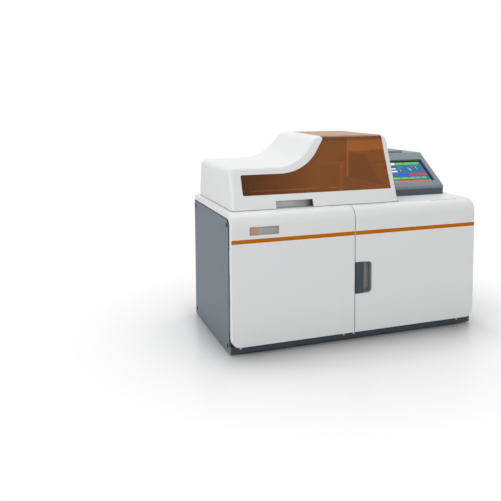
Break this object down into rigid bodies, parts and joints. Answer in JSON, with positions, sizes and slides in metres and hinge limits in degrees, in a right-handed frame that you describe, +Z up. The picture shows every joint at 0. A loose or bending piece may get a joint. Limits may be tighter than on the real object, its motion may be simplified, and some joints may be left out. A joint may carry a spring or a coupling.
{
  "type": "benchtop chemistry analyzer",
  "caption": "Benchtop chemistry analyzer: a cabinet with front doors, a curved lifting hood with a tinted window over sample and reaction disks, and a sloped touch-screen console.",
  "frame": {"origin": "on the bench, under the middle of the machine's bounding box", "axes": "+Z up, -Y towards the operator (the doors' side), +X to the operator's right (the console's side)"},
  "size_m": [0.8524, 0.476, 0.648],
  "materials": {
    "white_shell": "satin moulded shell",
    "slate_panel": "satin powder coat",
    "plinth_coat": "satin powder coat",
    "inner_coat": "pale powder coat",
    "stripe_orange": "satin",
    "amber_window": "clear tinted acrylic",
    "console_grey": "fine texture",
    "console_dark": "fine texture",
    "screen_glass": "lit display behind cover glass",
    "badge_metal": "brushed, printed plate with no text",
    "cup_grey": "smooth",
    "grip_dark": "smooth",
    "steel": "ground",
    "bronze": "sintered bearing bronze",
    "aluminium": "satin anodised",
    "black_rubber": "matte",
    "black_plastic": "fine texture",
    "disk_plastic": "smooth",
    "clear_plastic": "clear moulded",
    "milky_plastic": "translucent moulded",
    "arm_white": "satin",
    "board_green": "solder mask",
    "paper": "plain",
    "screw_black": "black zinc"
  },
  "bodies": {
    "cabinet": {"back_panel": "slate_panel", "base_tray": "plinth_coat", "bay_divider": "inner_coat", "bottles": "milky_plastic", "case_screws": "screw_black", "chassis_frame": "inner_coat", "console_base": "console_dark", "console_housing": "console_grey", "door_hinge_fixed_leaves": "screw_black", "drive_belts": "black_rubber", "fan_housing": "black_plastic", "guide_rods": "steel", "hinge_pins": "steel", "hood_hinge_bases": "steel", "left_side_panel": "slate_panel", "main_board": "board_green", "pan_bearings": "bronze", "power_inlet": "black_plastic", "power_supply": "aluminium", "printer_bay": "black_plastic", "pump_body": "black_plastic", "right_side_panel": "slate_panel", "rubber_pads": "black_rubber", "stepper_motors": "black_plastic", "syringe_barrel": "aluminium", "top_cover": "white_shell", "touch_screen": "screen_glass", "wash_wells": "milky_plastic", "work_pan": "inner_coat"},
    "left_door": {"left_door_skin": "white_shell", "left_door_liner": "inner_coat", "left_stripe": "stripe_orange", "badge_plate": "badge_metal"},
    "right_door": {"right_door_skin": "white_shell", "right_door_liner": "inner_coat", "right_stripe": "stripe_orange", "handle_cup": "cup_grey", "handle_grip": "grip_dark"},
    "hood": {"hood_shell": "white_shell", "hood_window": "amber_window", "hood_grip_pocket": "white_shell", "hood_hinge_leaves": "steel"},
    "printer_cover": {"printer_cover": "console_dark"},
    "paper_roll": {"paper_roll": "paper"},
    "platen": {"platen_roller": "black_rubber"},
    "reaction_disk": {"reaction_disk": "disk_plastic", "cuvettes": "clear_plastic"},
    "sample_disk": {"sample_disk": "disk_plastic", "sample_vessels": "clear_plastic"},
    "reaction_motor": {"reaction_motor_pulley": "aluminium"},
    "sample_motor": {"sample_motor_pulley": "aluminium"},
    "probe_carriage": {"probe_carriage": "aluminium"},
    "probe_arm": {"probe_arm": "arm_white"},
    "stirrer_carriage": {"stirrer_carriage": "aluminium"},
    "stirrer_arm": {"stirrer_arm": "arm_white"},
    "wash_head": {"wash_head": "arm_white"},
    "fan": {"fan_rotor": "black_plastic"},
    "power_switch": {"power_switch": "black_plastic"},
    "pump": {"pump_rotor": "milky_plastic"},
    "syringe": {"syringe_plunger": "steel"}
  },
  "joints": [
    {"name": "hood_lift", "type": "hinge", "parent": "cabinet", "child": "hood", "pos_m": [0, 0.227, 0.44], "axis": [-1, 0, 0], "range_deg": [0, 75]},
    {"name": "left_door_swing", "type": "hinge", "parent": "cabinet", "child": "left_door", "pos_m": [-0.421, -0.216, 0.2], "axis": [0, 0, -1], "range_deg": [0, 110]},
    {"name": "right_door_swing", "type": "hinge", "parent": "cabinet", "child": "right_door", "pos_m": [0.421, -0.216, 0.2], "axis": [0, 0, 1], "range_deg": [0, 110]},
    {"name": "printer_cover_lift", "type": "hinge", "parent": "cabinet", "child": "printer_cover", "pos_m": [0.288, 0.191, 0.5725], "axis": [-1, 0, 0], "range_deg": [0, 85]},
    {"name": "reaction_disk_spin", "type": "hinge", "parent": "cabinet", "child": "reaction_disk", "pos_m": [-0.235, 0.062, 0.43], "axis": [0, 0, 1], "continuous": true},
    {"name": "reaction_motor_spin", "type": "hinge", "parent": "cabinet", "child": "reaction_motor", "pos_m": [-0.235, -0.013, 0.368], "axis": [0, 0, 1], "continuous": true},
    {"name": "sample_disk_spin", "type": "hinge", "parent": "cabinet", "child": "sample_disk", "pos_m": [-0.005, 0.077, 0.43], "axis": [0, 0, 1], "continuous": true},
    {"name": "sample_motor_spin", "type": "hinge", "parent": "cabinet", "child": "sample_motor", "pos_m": [-0.005, 0.002, 0.368], "axis": [0, 0, 1], "continuous": true},
    {"name": "probe_lift", "type": "slide", "parent": "cabinet", "child": "probe_carriage", "axis": [0, 0, 1], "range_m": [-0.03, 0]},
    {"name": "probe_swing", "type": "hinge", "parent": "probe_carriage", "child": "probe_arm", "pos_m": [0.005, -0.072, 0.458], "axis": [0, 0, 1], "range_deg": [-64.95, 11.31]},
    {"name": "stirrer_lift", "type": "slide", "parent": "cabinet", "child": "stirrer_carriage", "axis": [0, 0, 1], "range_m": [-0.03, 0]},
    {"name": "stirrer_swing", "type": "hinge", "parent": "stirrer_carriage", "child": "stirrer_arm", "pos_m": [-0.33, -0.088, 0.458], "axis": [0, 0, 1], "range_deg": [0, 39.25]},
    {"name": "wash_lift", "type": "slide", "parent": "cabinet", "child": "wash_head", "axis": [0, 0, 1], "range_m": [-0.022, 0]},
    {"name": "fan_spin", "type": "hinge", "parent": "cabinet", "child": "fan", "pos_m": [-0.275, 0.219, 0.297], "axis": [0, 1, 0], "continuous": true},
    {"name": "power_switch_rock", "type": "hinge", "parent": "cabinet", "child": "power_switch", "pos_m": [0.319, 0.231, 0.108], "axis": [-1, 0, 0], "range_deg": [0, 14]},
    {"name": "pump_spin", "type": "hinge", "parent": "cabinet", "child": "pump", "pos_m": [0.01, -0.088, 0.218], "axis": [1, 0, 0], "continuous": true},
    {"name": "syringe_plunge", "type": "slide", "parent": "cabinet", "child": "syringe", "axis": [0, 0, 1], "range_m": [-0.055, 0]},
    {"name": "paper_roll_spin", "type": "hinge", "parent": "cabinet", "child": "paper_roll", "pos_m": [0.288, 0.158, 0.544], "axis": [1, 0, 0], "continuous": true},
    {"name": "platen_spin", "type": "hinge", "parent": "cabinet", "child": "platen", "pos_m": [0.288, 0.105, 0.56], "axis": [1, 0, 0], "continuous": true}
  ],
  "couplings": [
    {"joint": "reaction_motor_spin", "follows": "reaction_disk_spin", "ratio": 3},
    {"joint": "sample_motor_spin", "follows": "sample_disk_spin", "ratio": 3},
    {"joint": "platen_spin", "follows": "paper_roll_spin", "ratio": -3.3333}
  ]
}
